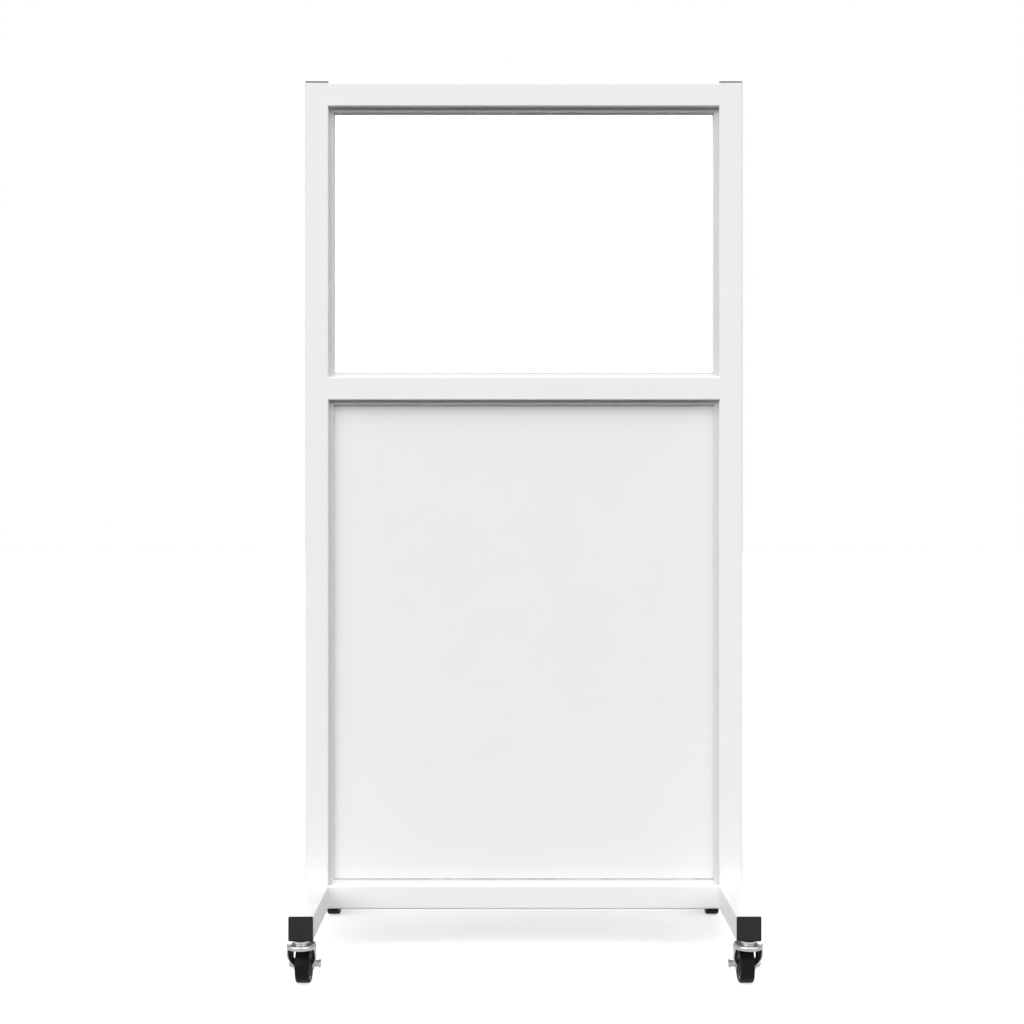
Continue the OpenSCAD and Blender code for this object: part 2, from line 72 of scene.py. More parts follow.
def effect(name, inputs, output):
    """Starts a node group with number inputs, given with their usual values, and one number output."""
    group = bpy.data.node_groups.new(name, "ShaderNodeTree")
    for label, usual in inputs.items():
        socket = group.interface.new_socket(name=label, in_out="INPUT", socket_type="NodeSocketFloat")
        socket.default_value = usual
    group.interface.new_socket(name=output, in_out="OUTPUT", socket_type="NodeSocketFloat")
    return group, group.nodes.new("NodeGroupInput").outputs, group.nodes.new("NodeGroupOutput").inputs


def sum_of(tree, operation, *values, clamp=False):
    """Arithmetic on two or three values."""
    return place(
        tree, "ShaderNodeMath", dict(enumerate(values)), operation=operation, use_clamp=clamp
    ).outputs[0]


def spread(tree, value, low, high, start=0.0, end=1.0):
    """Stretches the part of a value from low to high over the range from start to end."""
    return place(
        tree, "ShaderNodeMapRange",
        {"Value": value, "From Min": low, "From Max": high, "To Min": start, "To Max": end},
    ).outputs["Result"]


def grown_noise(tree, scale, detail=2.0, roughness=0.5, stretch=(1, 1, 1)):
    """Noise that is fixed to the piece, so that it stays put when the piece moves."""
    where = place(tree, "ShaderNodeTexCoord").outputs["Object"]
    if stretch != (1, 1, 1):
        where = place(tree, "ShaderNodeMapping", {"Vector": where, "Scale": stretch}).outputs["Vector"]
    return place(
        tree, "ShaderNodeTexNoise",
        {"Vector": where, "Scale": scale, "Detail": detail, "Roughness": roughness},
    ).outputs["Fac"]


def make_orange_peel():
    """Soft dimples of sprayed powder, with a slow change of level under them."""
    group, given, result = effect("orange_peel", {"Dimple Size": 0.0022, "Depth": 1.0}, "Height")
    dimples = grown_noise(group, sum_of(group, "DIVIDE", 1.0, given["Dimple Size"]), detail=1.0)
    swell = grown_noise(group, 18.0, detail=1.0)
    both = sum_of(group, "MULTIPLY_ADD", swell, 1.5, dimples)
    group.links.new(sum_of(group, "MULTIPLY", both, given["Depth"]), result["Height"])
    return group


def make_edge_wear():
    """Mask of outer edges, broken up so that it comes and goes along them."""
    inputs = {"Reach": 0.0015, "Amount": 0.5, "Patch Size": 0.03}
    group, given, result = effect("edge_wear", inputs, "Mask")
    rounded = place(group, "ShaderNodeBevel", {"Radius": given["Reach"]}, samples=4)
    true = place(group, "ShaderNodeNewGeometry")
    match = place(
        group, "ShaderNodeVectorMath",
        {0: rounded.outputs["Normal"], 1: true.outputs["Normal"]}, operation="DOT_PRODUCT",
    )
    edge = spread(group, match.outputs["Value"], 0.995, 0.9)
    patches = grown_noise(group, sum_of(group, "DIVIDE", 1.0, given["Patch Size"]), detail=4.0)
    worn = sum_of(group, "MULTIPLY", edge, spread(group, patches, 0.45, 0.7))
    group.links.new(sum_of(group, "MULTIPLY", worn, given["Amount"]), result["Mask"])
    return group


def make_handling():
    """Roughness that wanders with wiping and handling, in long smears and small spots."""
    inputs = {"Middle": 0.4, "Spread": 0.1, "Smear Size": 0.12}
    group, given, result = effect("handling", inputs, "Roughness")
    scale = sum_of(group, "DIVIDE", 1.0, given["Smear Size"])
    smears = grown_noise(group, scale, detail=5.0, roughness=0.65, stretch=(1, 1, 0.35))
    centred = sum_of(group, "SUBTRACT", smears, 0.5)
    rough = sum_of(group, "MULTIPLY_ADD", centred, given["Spread"], given["Middle"], clamp=True)
    group.links.new(rough, result["Roughness"])
    return group


def make_settled_dust():
    """Mask of faces that look up, in drifts: for thin dust, and for painted shade on upward faces."""
    inputs = {"Amount": 0.3, "Drift Size": 0.05, "Least Slope": 0.3}
    group, given, result = effect("dust_and_shade", inputs, "Mask")
    normal = place(group, "ShaderNodeNewGeometry").outputs["Normal"]
    facing = place(group, "ShaderNodeSeparateXYZ", {0: normal})
    slope_range = 0.7
    full = sum_of(group, "ADD", given["Least Slope"], slope_range)
    up = spread(group, facing.outputs["Z"], given["Least Slope"], full)
    drifts = grown_noise(group, sum_of(group, "DIVIDE", 1.0, given["Drift Size"]), detail=3.0)
    lying = sum_of(group, "MULTIPLY", up, spread(group, drifts, 0.3, 0.7, 0.6, 1.0))
    group.links.new(sum_of(group, "MULTIPLY", lying, given["Amount"]), result["Mask"])
    return group


ORANGE_PEEL = make_orange_peel()
EDGE_WEAR = make_edge_wear()
HANDLING = make_handling()
DUST_AND_SHADE = make_settled_dust()


def use(tree, group, **values):
    """Places an effect in a material, with its values named as words joined by underscores."""
    node = place(tree, "ShaderNodeGroup", node_tree=group)
    for name, value in values.items():
        node.inputs[name.replace("_", " ").title()].default_value = value
    return node.outputs[0]


def blend_colour(tree, mask, under, over):
    """Colour over another by a mask. A colour is three numbers, or an output."""
    colours = [c if isinstance(c, bpy.types.NodeSocket) else (*c, 1) for c in (under, over)]
    inputs = {0: mask, 6: colours[0], 7: colours[1]}
    return place(tree, "ShaderNodeMix", inputs, data_type="RGBA").outputs[2]


def start_material(name):
    material = bpy.data.materials.new(name)
    material.use_nodes = True
    tree = material.node_tree
    return material, tree, tree.nodes["Principled BSDF"]


def raise_surface(tree, shader, height, strength, distance):
    """Bump of the surface by a height, where distance is its depth in metres."""
    bump = place(tree, "ShaderNodeBump", {"Strength": strength, "Distance": distance, "Height": height})
    tree.links.new(bump.outputs["Normal"], shader.inputs["Normal"])


def powder_coat(name, shade, thin_shade, dust_and_painted_shade, middle, dimple, peel, wear):
    """White baked powder over steel, its upward faces darkened partly by dust and partly by painted shade."""
    material, tree, shader = start_material(name)
    mottle = spread(tree, grown_noise(tree, 6.0, detail=4.0), 0.3, 0.7)
    colour = blend_colour(tree, mottle, [c * 0.985 for c in shade], shade)
    colour = blend_colour(tree, use(tree, EDGE_WEAR, amount=wear), colour, thin_shade)
    # Upward faces blend to a darker colour: thin dust, and painted shade that keeps the tops from going white
    # under the overhead light.
    dust_and_shade = use(tree, DUST_AND_SHADE, amount=0.9, least_slope=0.0)
    colour = blend_colour(tree, dust_and_shade, colour, dust_and_painted_shade)
    tree.links.new(colour, shader.inputs["Base Color"])
    shader.inputs["Specular IOR Level"].default_value = 0.3
    tree.links.new(use(tree, HANDLING, middle=middle, spread=0.16), shader.inputs["Roughness"])
    raise_surface(tree, shader, use(tree, ORANGE_PEEL, dimple_size=dimple, depth=peel), 0.35, 0.00005)
    return material


def finish(nodes, material):
    """Gives CAD nodes their finish."""
    for name in nodes:
        cad[name].material_slots[0].material = material


# The frame's upward faces go to a darker grey: dust, and painted shade on the tops.
FRAME_POWDER = powder_coat(
    "frame_powder", shade=(0.84, 0.84, 0.84), thin_shade=(0.72, 0.72, 0.71),
    dust_and_painted_shade=(0.63, 0.627, 0.615), middle=0.42, dimple=0.0022, peel=1.0, wear=0.3,
)
TUBES = [
    "left_upright", "right_upright", "top_rail", "middle_rail", "bottom_rail", "left_base_leg",
    "right_base_leg",
]
finish(TUBES, FRAME_POWDER)


# Base welds: a fillet of weld metal in front of and behind each post, where it stands on
# its leg. The rounds of the torch are ground soft and covered by the powder.
def join(bm, a, b, closed=True):
    """Faces between two rings of as many corners."""
    for i in range(len(a) if closed else len(a) - 1):
        j = (i + 1) % len(a)
        bm.faces.new((a[i], a[j], b[j], b[i]))


def skin(bm, rings, closed=True, ends=True):
    """Faces over a row of rings, given as lists of points, with both ends filled."""
    corners = [[bm.verts.new(p) for p in ring] for ring in rings]
    for a, b in zip(corners, corners[1:]):
        join(bm, a, b, closed)
    if ends:
        bm.faces.new(corners[0])
        bm.faces.new(corners[-1])
    return corners


def make_piece(name, bm, body, material, crease=35):
    """Turns a mesh in the making into a piece on a body, smooth but for its sharper edges."""
    bmesh.ops.recalc_face_normals(bm, faces=bm.faces[:])
    mesh = bpy.data.meshes.new(name)
    bm.to_mesh(mesh)
    bm.free()
    mesh.shade_smooth()
    mesh.set_sharp_from_angle(angle=math.radians(crease))
    mesh.materials.append(material)
    piece = bpy.data.objects.new(name, mesh)
    bpy.context.scene.collection.objects.link(piece)
    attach(piece, body)
    return piece


def base_weld(post, front):
    """One fillet: front is -1 before the post and 1 behind it."""
    leg_size = 0.0055
    ripple = 0.0003
    pitch = 0.0035
    sunk = 0.0004
    end_gap = 0.003
    hollow = 0.42
    low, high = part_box(post)
    leg_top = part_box(post.replace("upright", "base_leg"))[1][2]
    face_y = (low if front < 0 else high)[1]
    length = high[0] - low[0] - 2 * end_gap
    bm = bmesh.new()
    rings = []
    steps = 72
    for i in range(steps + 1):
        along = i / steps
        x = low[0] + end_gap + length * along
        taper = min(1.0, 12 * along + 0.25, 12 * (1 - along) + 0.25)
        wave = abs(math.sin(math.pi * length * along / pitch))
        size = (leg_size + ripple * wave) * taper
        ring = [(x, face_y - front * sunk, leg_top - sunk)]
        for k in range(7):
            a = math.radians(15 * k)
            bulge = 1 - hollow * math.sin(2 * a)
            ring.append((
                x, face_y + front * (size * math.cos(a) * bulge - sunk * (k == 6)),
                leg_top + size * math.sin(a) * bulge - sunk * (k == 0),
            ))
        rings.append(ring)
    skin(bm, rings)
    return bm


for side in ("left", "right"):
    for front, place_name in ((-1, "front"), (1, "rear")):
        weld = base_weld(f"{side}_upright", front)
        make_piece(f"{side}_post_{place_name}_weld", weld, "root", FRAME_POWDER)


# Glazing beads: slim solid bars of powder-coated steel, a greyer white than the frame,
# mitred at their corners and screwed to the tubes in front of and behind pane and panel.
BEADS = [
    f"{opening}_{side}_{edge}" for opening in ("window", "panel") for side in ("front", "rear")
    for edge in ("top_bead", "bottom_bead", "side_beads")
]
# The beads' upward faces go much darker: dust, and painted shade on their tops.
finish(BEADS, powder_coat(
    "bead_powder", shade=(0.72, 0.72, 0.72), thin_shade=(0.62, 0.62, 0.61),
    dust_and_painted_shade=(0.4, 0.397, 0.388), middle=0.45, dimple=0.0018, peel=0.8, wear=0.3,
))


# Bead screws: countersunk cross-recess screws of plated steel that go through the rear
# beads into the tubes, evenly spaced round both openings.
def brushed_metal(name, shade, dull_shade, middle, scratch):
    """Plated or turned steel, with fine scratches and small dull patches."""
    material, tree, shader = start_material(name)
    mottle = spread(tree, grown_noise(tree, 90.0, detail=5.0), 0.35, 0.7)
    tree.links.new(blend_colour(tree, mottle, shade, dull_shade), shader.inputs["Base Color"])
    shader.inputs["Metallic"].default_value = 1.0
    rough = use(tree, HANDLING, middle=middle, spread=0.14, smear_size=0.01)
    tree.links.new(rough, shader.inputs["Roughness"])
    lines = grown_noise(tree, 2500.0, detail=3.0, stretch=(1, 1, 0.05))
    raise_surface(tree, shader, lines, scratch, 0.00001)
    return material


SCREW_STEEL = brushed_metal("screw_plating", (0.66, 0.65, 0.63), (0.5, 0.49, 0.47), 0.3, 0.3)


def screw_places(length):
    """Places along a bead, as in the CAD: end screws at a fixed distance, the rest evenly between."""
    end = 0.045
    pitch = 0.26
    count = max(2, math.ceil((length - 2 * end) / pitch - 1e-6) + 1)
    run = length - 2 * end
    return [-run / 2 + i * run / (count - 1) for i in range(count)]


def add_screw(bm, stand):
    """One screw with its head's face at z = 0 and its shank below, stood where it belongs."""
    head, shank, length = 0.0026, 0.0015, 0.014
    slot_long, slot_short, slot_deep = 0.0014, 0.00045, 0.0011
    lip, tip, point = 0.0001, 0.0004, 0.001
    count = 32
    around = [2 * math.pi * i / count for i in range(count)]

    def circle(radius, z):
        return [(radius * math.cos(a), radius * math.sin(a), z) for a in around]

    def cross(scale, z):
        reach = [slot_long if min(i % 8, 8 - i % 8) <= 1 else slot_short for i in range(count)]
        return [(scale * r * math.cos(a), scale * r * math.sin(a), z) for r, a in zip(reach, around)]

    cone = head - shank
    rings = [
        cross(0.45, -slot_deep), cross(1.0, -lip), cross(1.03, 0),
        circle(head * 0.97, 0), circle(head, -lip),
        circle(shank, -cone), circle(shank, point - length), circle(tip, -length),
    ]
    before = len(bm.verts)
    skin(bm, rings)
    bm.verts.ensure_lookup_table()
    bmesh.ops.transform(bm, matrix=stand, verts=bm.verts[before:])


screws = bmesh.new()
for opening in ("window", "panel"):
    low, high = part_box(f"{opening}_rear_bottom_bead")
    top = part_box(f"{opening}_rear_top_bead")[1][2]
    depth = (low[1] + high[1]) / 2
    width, height = high[0] - low[0], top - low[2]
    rise = high[2] - low[2]
    middle_z = (top + low[2]) / 2
    for p in screw_places(width):
        turned = Matrix.Rotation(math.pi, 4, "Y")
        add_screw(screws, Matrix.Translation((p, depth, low[2] + rise)))
        add_screw(screws, Matrix.Translation((p, depth, top - rise)) @ turned)
    for p in screw_places(height):
        for s in (-1, 1):
            turned = Matrix.Rotation(-s * math.pi / 2, 4, "Y")
            add_screw(screws, Matrix.Translation((s * (width / 2 - rise), depth, middle_z + p)) @ turned)
heads = make_piece("cross_recess_screws", screws, "root", SCREW_STEEL)
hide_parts("bead_screws")


# Panel skins: two flat sheets of white powder-coated steel that hold the lead and the core
# board between them. A sheet this size is never quite flat, so its shine wavers a little.
# The panel's upward faces go a little darker: dust, and painted shade.
finish(["panel_front_skin", "panel_rear_skin"], powder_coat(
    "panel_powder", shade=(0.83, 0.83, 0.83), thin_shade=(0.7, 0.7, 0.69),
    dust_and_painted_shade=(0.76, 0.755, 0.74), middle=0.5, dimple=0.0025, peel=0.7, wear=0.2,
))


# Panel filling: a rolled lead sheet, dull and blotched by its oxide, bonded to a board of
# pressed wood fibre. Both are closed in between the skins, and the tubes hold lead too.
def rolled_lead():
    """Dull grey metal with darker blotches of oxide and faint roll marks."""
    material, tree, shader = start_material("rolled_lead")
    oxide = spread(tree, grown_noise(tree, 25.0, detail=6.0, roughness=0.6), 0.4, 0.65)
    colour = blend_colour(tree, oxide, (0.32, 0.33, 0.35), (0.2, 0.205, 0.22))
    tree.links.new(colour, shader.inputs["Base Color"])
    shader.inputs["Metallic"].default_value = 1.0
    rough = use(tree, HANDLING, middle=0.6, spread=0.25, smear_size=0.03)
    tree.links.new(rough, shader.inputs["Roughness"])
    roll_marks = grown_noise(tree, 300.0, detail=3.0, stretch=(1, 1, 0.1))
    raise_surface(tree, shader, roll_marks, 0.3, 0.0001)
    return material


def pressed_fibre():
    """Brown board of matted fibres."""
    material, tree, shader = start_material("pressed_fibre")
    fibres = grown_noise(tree, 700.0, detail=4.0, roughness=0.7, stretch=(1, 0.3, 1))
    flecks = spread(tree, fibres, 0.35, 0.65)
    colour = blend_colour(tree, flecks, (0.4, 0.27, 0.15), (0.62, 0.47, 0.3))
    tree.links.new(colour, shader.inputs["Base Color"])
    shader.inputs["Roughness"].default_value = 0.9
    raise_surface(tree, shader, flecks, 0.5, 0.0002)
    return material


finish(["panel_lead_sheet", "frame_lead_lining"], rolled_lead())
finish(["panel_core_board"], pressed_fibre())


# Glazing sealant: a thin line of white silicone that closes the joint between the beads and
# pane or panel, pressed in with a finger. Along the lower edges its upward faces are
# painted near-black, as painted shade in the joint.
def soft_rubber(name, shade, chalk_shade, middle, grain, joint_shade=0.0):
    """Rubber or silicone, with a chalky bloom, and near-black painted shade where it looks up."""
    material, tree, shader = start_material(name)
    bloom = spread(tree, grown_noise(tree, 60.0, detail=5.0, roughness=0.6), 0.4, 0.75)
    colour = blend_colour(tree, bloom, shade, chalk_shade)
    # Near-black painted shade on the faces that look up, standing in for the shadow in the joint along the
    # lower edges.
    joint_shade_mask = use(tree, DUST_AND_SHADE, amount=joint_shade, drift_size=0.02, least_slope=-0.1)
    joint_shade_colour = (0.05, 0.049, 0.047)
    colour = blend_colour(tree, joint_shade_mask, colour, joint_shade_colour)
    tree.links.new(colour, shader.inputs["Base Color"])
    rough = use(tree, HANDLING, middle=middle, spread=0.2, smear_size=0.02)
    tree.links.new(rough, shader.inputs["Roughness"])
    raise_surface(tree, shader, grown_noise(tree, 1.0 / grain, detail=3.0), 0.4, 0.0001)
    return material


def add_seal(bm, low, high, face_y, out, size):
    """A small hollow-faced line round a rectangle, against a face that looks towards out."""
    tucked, sunk, feather = 0.0004, 0.0002, 0.0001
    section = (
        (-tucked, -sunk), (-tucked, size), (size * 0.35, size * 0.4), (size, feather), (size, -sunk),
    )
    corners = []
    for inset, rise in section:
        y = face_y + out * rise
        x0, x1 = low[0] + inset, high[0] - inset
        z0, z1 = low[2] + inset, high[2] - inset
        corners.append([bm.verts.new(p) for p in ((x0, y, z0), (x1, y, z0), (x1, y, z1), (x0, y, z1))])
    for a, b in zip(corners, corners[1:] + corners[:1]):
        join(bm, a, b)


def inner_edges(opening, side):
    """Lowest and highest inner corner of the beads round an opening."""
    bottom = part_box(f"{opening}_{side}_bottom_bead")
    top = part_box(f"{opening}_{side}_top_bead")
    bead = bottom[1][2] - bottom[0][2]
    return (bottom[0][0] + bead, 0, bottom[1][2]), (bottom[1][0] - bead, 0, top[0][2])


# The sealant's upward faces are painted near-black: painted shade in the joint.
SILICONE = soft_rubber("white_silicone", (0.74, 0.74, 0.73), (0.8, 0.8, 0.79), 0.5, 0.002, joint_shade=1.0)
SEAL_SIZE = 0.0016
for opening, backing in (("window", "window_{}_gasket"), ("panel", "panel_{}_skin")):
    seals = bmesh.new()
    for side, out in (("front", -1), ("rear", 1)):
        low, high = inner_edges(opening, side)
        back_low, back_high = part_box(backing.format(side))
        add_seal(seals, low, high, (back_low if out < 0 else back_high)[1], out, SEAL_SIZE)
    make_piece(f"{opening}_sealant", seals, "root", SILICONE)


# Window pane: polished lead glass, clear and colourless from the front, with a faint
# straw tint where it is seen edge on.
def lead_glass():
    """Clear polished glass, denser than window glass."""
    material, tree, shader = start_material("lead_glass_clear")
    shader.inputs["Base Color"].default_value = (0.995, 0.995, 0.985, 1)
    shader.inputs["Transmission Weight"].default_value = 1.0
    shader.inputs["IOR"].default_value = 1.6
    rough = use(tree, HANDLING, middle=0.004, spread=0.012, smear_size=0.2)
    tree.links.new(rough, shader.inputs["Roughness"])
    return material


finish(["lead_glass_pane"], lead_glass())


# Glazing gaskets and setting blocks: milky silicone tape on both faces of the pane, which
# shows as a pale line beyond the beads, and two dark rubber blocks under the pane's edge.
def milky_silicone():
    """Off-white silicone, a little cloudy."""
    material, tree, shader = start_material("glazing_silicone")
    cloud = spread(tree, grown_noise(tree, 60.0, detail=4.0), 0.35, 0.7)
    colour = blend_colour(tree, cloud, (0.86, 0.86, 0.85), (0.92, 0.92, 0.91))
    tree.links.new(colour, shader.inputs["Base Color"])
    rough = use(tree, HANDLING, middle=0.45, spread=0.2, smear_size=0.02)
    tree.links.new(rough, shader.inputs["Roughness"])
    raise_surface(tree, shader, grown_noise(tree, 800.0, detail=3.0), 0.3, 0.0001)
    return material


finish(["window_front_gasket", "window_rear_gasket"], milky_silicone())
BLOCK_RUBBER = soft_rubber("block_rubber", (0.03, 0.03, 0.03), (0.07, 0.07, 0.07), 0.7, 0.0015)
finish(["glass_setting_blocks"], BLOCK_RUBBER)


# End caps: black polyethylene caps pushed into the open tube ends. The square flange that
# shows has rounded edges and a fine moulded grain, and its hollow plug grips the tube.
def moulded_plastic(name, shade, edge_shade, middle, grain, depth):
    """Moulded plastic with a fine grain, paler along its rubbed edges."""
    material, tree, shader = start_material(name)
    rubbed = use(tree, EDGE_WEAR, amount=0.4, reach=0.0008, patch_size=0.008)
    tree.links.new(blend_colour(tree, rubbed, shade, edge_shade), shader.inputs["Base Color"])
    shader.inputs["Specular IOR Level"].default_value = 0.2
    rough = use(tree, HANDLING, middle=middle, spread=0.15, smear_size=0.02)
    tree.links.new(rough, shader.inputs["Roughness"])
    raise_surface(tree, shader, grown_noise(tree, 1.0 / grain, detail=2.0), 0.4, depth)
    return material


def square_ring(side, radius, z, middle=0.0, height=None):
    """Square with round corners at height z; height and middle make it an oblong in y."""
    half = side / 2
    tall = half if height is None else height / 2
    ring = []
    for turn, sx, sy in ((0, 1, 1), (90, -1, 1), (180, -1, -1), (270, 1, -1)):
        for k in range(7):
            a = math.radians(turn + 15 * k)
            x = sx * (half - radius) + radius * math.cos(a)
            ring.append((x, middle + sy * (tall - radius) + radius * math.sin(a), z))
    return ring


FLANGE = 0.003
LEG_PLUG_CUT = 0.0116


def tube_cap(cut):
    """Cap with its flange above z = 0; cut is how much of the plug is left out at low y."""
    side, radius, edge, chamfer = 0.0498, 0.0025, 0.0008, 0.0003
    plug, deep, wall = 0.0464, 0.014, 0.002
    bm = bmesh.new()
    rings = [
        square_ring(side - 2 * chamfer, radius - chamfer, 0),
        square_ring(side, radius, chamfer),
    ]
    for k in range(6):
        a = math.radians(18 * k)
        inset = edge * (1 - math.cos(a))
        rings.append(square_ring(side - 2 * inset, radius - inset, FLANGE - edge + edge * math.sin(a)))
    rings.append(square_ring(side - 0.008, 0.001, FLANGE))
    skin(bm, rings)
    tall = plug - cut
    middle = cut / 2
    skin(bm, [
        square_ring(plug - 2 * wall, 0.0004, 0, middle, tall - 2 * wall),
        square_ring(plug - 2 * wall, 0.0004, -deep, middle, tall - 2 * wall),
        square_ring(plug - 0.001, 0.0008, -deep, middle, tall - 0.001),
        square_ring(plug, 0.001, -deep + 0.0015, middle, tall),
        square_ring(plug, 0.001, 0, middle, tall),
    ], ends=False)
    return bm


CAP_PLASTIC = moulded_plastic(
    "cap_polyethylene", (0.01, 0.01, 0.01), (0.018, 0.018, 0.018), 0.55, grain=0.0008, depth=0.00006
)
POST_CAPS = ["left_upright_cap", "right_upright_cap"]
LEG_CAPS = [f"{front}_{side}_leg_cap" for front in ("front", "rear") for side in ("left", "right")]
for node in POST_CAPS + LEG_CAPS:
    low, high = (Vector(c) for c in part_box(node))
    middle_x = (low.x + high.x) / 2
    bm = tube_cap(0.0 if node in POST_CAPS else LEG_PLUG_CUT)
    if node in POST_CAPS:
        stand = Matrix.Translation((middle_x, (low.y + high.y) / 2, high.z - FLANGE))
    else:
        ahead = node.startswith("front")
        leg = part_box(node.replace("front_", "").replace("rear_", "").replace("leg_cap", "base_leg"))
        leg_end = leg[0][1] if ahead else leg[1][1]
        about = Matrix.Rotation(math.radians(0 if ahead else 180), 4, "Z")
        upright = Matrix.Rotation(math.radians(90), 4, "X")
        stand = Matrix.Translation((middle_x, leg_end, (low.z + high.z) / 2)) @ about @ upright
    bmesh.ops.transform(bm, matrix=stand, verts=bm.verts)
    moulding = make_piece(f"{node}_moulding", bm, "root", CAP_PLASTIC, crease=50)
    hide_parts(node)


# Caster mounts: blocks of plain steel with a threaded hole, welded inside the leg ends.
# Each takes the stem of a caster, whose round race sits against the tube.
PLAIN_STEEL = brushed_metal("plain_steel", (0.42, 0.41, 0.4), (0.3, 0.29, 0.28), 0.45, 0.6)
finish(["caster_mount_blocks"], PLAIN_STEEL)
STEM_PLATING = brushed_metal("stem_plating", (0.5, 0.49, 0.48), (0.4, 0.39, 0.38), 0.28, 0.3)
BALL_STEEL = brushed_metal("bearing_steel", (0.72, 0.72, 0.72), (0.6, 0.59, 0.58), 0.12, 0.05)
CORNERS = [f"{front}_{side}" for front in ("front", "rear") for side in ("left", "right")]
finish([f"{corner}_caster_stem" for corner in CORNERS], STEM_PLATING)
finish([f"{corner}_swivel_balls" for corner in CORNERS], BALL_STEEL)


# Caster forks: pressed from one sheet of steel and plated bright. A round crown with a
# turned-down rim carries the ball race, and two arms sweep back and inwards to the axle.
def spin(bm, profile, steps, closed=True):
    """Turns a section, given as (radius, height), about the Z axis. Radius 0 makes one point."""
    around = [2 * math.pi * i / steps for i in range(steps)]
    rings = []
    for r, z in profile:
        angles = around if r > 0 else around[:1]
        rings.append([bm.verts.new((r * math.cos(a), r * math.sin(a), z)) for a in angles])
    following = rings[1:] + rings[:1] if closed else rings[1:]
    for a, b in zip(rings, following):
        if len(a) == 1 and len(b) == 1:
            continue
        if len(a) == 1 or len(b) == 1:
            tip, ring = (a[0], b) if len(a) == 1 else (b[0], a)
            for i in range(steps):
                bm.faces.new((tip, ring[i], ring[(i + 1) % steps]))
        else:
            join(bm, a, b)


def rounded(centre, radius, start, end, steps=5):
    """Points of an arc, for the corners of a section."""
    angles = [math.radians(start + (end - start) * k / steps) for k in range(steps + 1)]
    return [(centre[0] + radius * math.cos(a), centre[1] + radius * math.sin(a)) for a in angles]


def at_corner(bm, corner):
    """Moves a caster piece, made about the origin with +X outboard, to its corner."""
    low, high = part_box(f"{corner}_caster_stem")
    side = -1 if low[0] < 0 else 1
    stem = Matrix.Translation(((low[0] + high[0]) / 2, (low[1] + high[1]) / 2, 0))
    stand = stem @ Matrix.Diagonal((side, 1, 1, 1))
    bmesh.ops.transform(bm, matrix=stand, verts=bm.verts)
    return bm


# Sizes that crown, arms, axle, wheel centre and tyre share, as in the CAD.
TRAIL = 0.038
AXLE_Z = 0.0381
CROWN_R = 0.03
RIM_Z = 0.0826
CROWN_TOP = 0.093
FORK_HALF = 0.018
SHEET = 0.0026


def fork_crown(bm):
    """Crown and rim: outer face with the pressed ring of the race, then back along the inside."""
    bore, race_r, foot_r = 0.0062, 0.0172, 0.0188
    shoulder, hollow, lip, step = 0.0045, 0.0024, 0.0006, 0.0011
    inner_r = CROWN_R - SHEET
    under = CROWN_TOP - step - SHEET
    section = [(bore, CROWN_TOP), (race_r, CROWN_TOP)]
    section += rounded((race_r, CROWN_TOP - step / 2), step / 2, 90, 0, 3)
    section += rounded((foot_r, CROWN_TOP - step / 2), step / 2, 180, 270, 3)
    section += rounded((CROWN_R - shoulder, CROWN_TOP - step - shoulder), shoulder, 90, 0, 7)
    section += rounded((CROWN_R - lip, RIM_Z + lip), lip, 0, -90, 3)
    section += rounded((inner_r + lip, RIM_Z + lip), lip, 270, 180, 3)
    section += rounded((inner_r - hollow, under - hollow), hollow, 0, 90, 5)
    section += [(bore, under)]
    spin(bm, section, 96)


def arm_across(y):
    """Half width to the middle of an arm's sheet at y: round with the crown, then drawn in."""
    inset = 0.0002
    radius = CROWN_R - inset - SHEET / 2
    narrow = FORK_HALF + SHEET / 2
    bend, seat = 0.018, TRAIL - 0.012
    if y <= bend:
        return math.sqrt(radius ** 2 - y ** 2)
    if y >= seat:
        return narrow
    wide = math.sqrt(radius ** 2 - bend ** 2)
    slope = -bend / wide * (seat - bend)
    t = (y - bend) / (seat - bend)
    return wide + (narrow - wide) * t * t * (3 - 2 * t) + slope * t * (1 - t) ** 2


def soften(corners):
    """Outline with rounded corners. A corner is given as (y, z, how far the round reaches)."""
    points = []
    for i, (y, z, reach) in enumerate(corners):
        p = Vector((y, z))
        if reach == 0:
            points.append(p)
            continue
        a = p + (Vector(corners[i - 1][:2]) - p).normalized() * reach
        b = p + (Vector(corners[(i + 1) % len(corners)][:2]) - p).normalized() * reach
        points += [a.lerp(p, k / 6).lerp(p.lerp(b, k / 6), k / 6) for k in range(7)]
    return points


def fork_arm(bm, side):
    """One arm: cut flat to its outline, then bent to the crown and drawn in to the wheel."""
    end_r, strip = 0.012, 0.0015
    axle = Vector((TRAIL, AXLE_Z))
    knee, throat = Vector((0.003, 0.0611)), Vector((0.022, 0.0541))

    def touch(p, turn):
        gap = p - axle
        return math.atan2(gap.y, gap.x) + turn * math.acos(end_r / gap.length)

    top = CROWN_TOP - 0.0058
    start, end = touch(knee, 1), touch(throat, -1) + 2 * math.pi
    corners = [
        (-0.017, top, 0), (-0.017, RIM_Z + 0.0008, 0), (-0.012, RIM_Z - 0.0002, 0.003),
        (knee.x, knee.y, 0.004),
    ]
    for k in range(25):
        a = start + (end - start) * k / 24
        corners.append((TRAIL + end_r * math.cos(a), AXLE_Z + end_r * math.sin(a), 0))
    corners += [(throat.x, throat.y, 0.0042), (throat.x, top, 0)]
    bm.faces.new([bm.verts.new((0, p.x, p.y)) for p in soften(corners)])
    for k in range(-10, 18):
        whole = bm.verts[:] + bm.edges[:] + bm.faces[:]
        cut_at = (0, strip * k, 0)
        bmesh.ops.bisect_plane(bm, geom=whole, dist=1e-6, plane_co=cut_at, plane_no=(0, 1, 0))
    for v in bm.verts:
        v.co.x = side * arm_across(v.co.y)


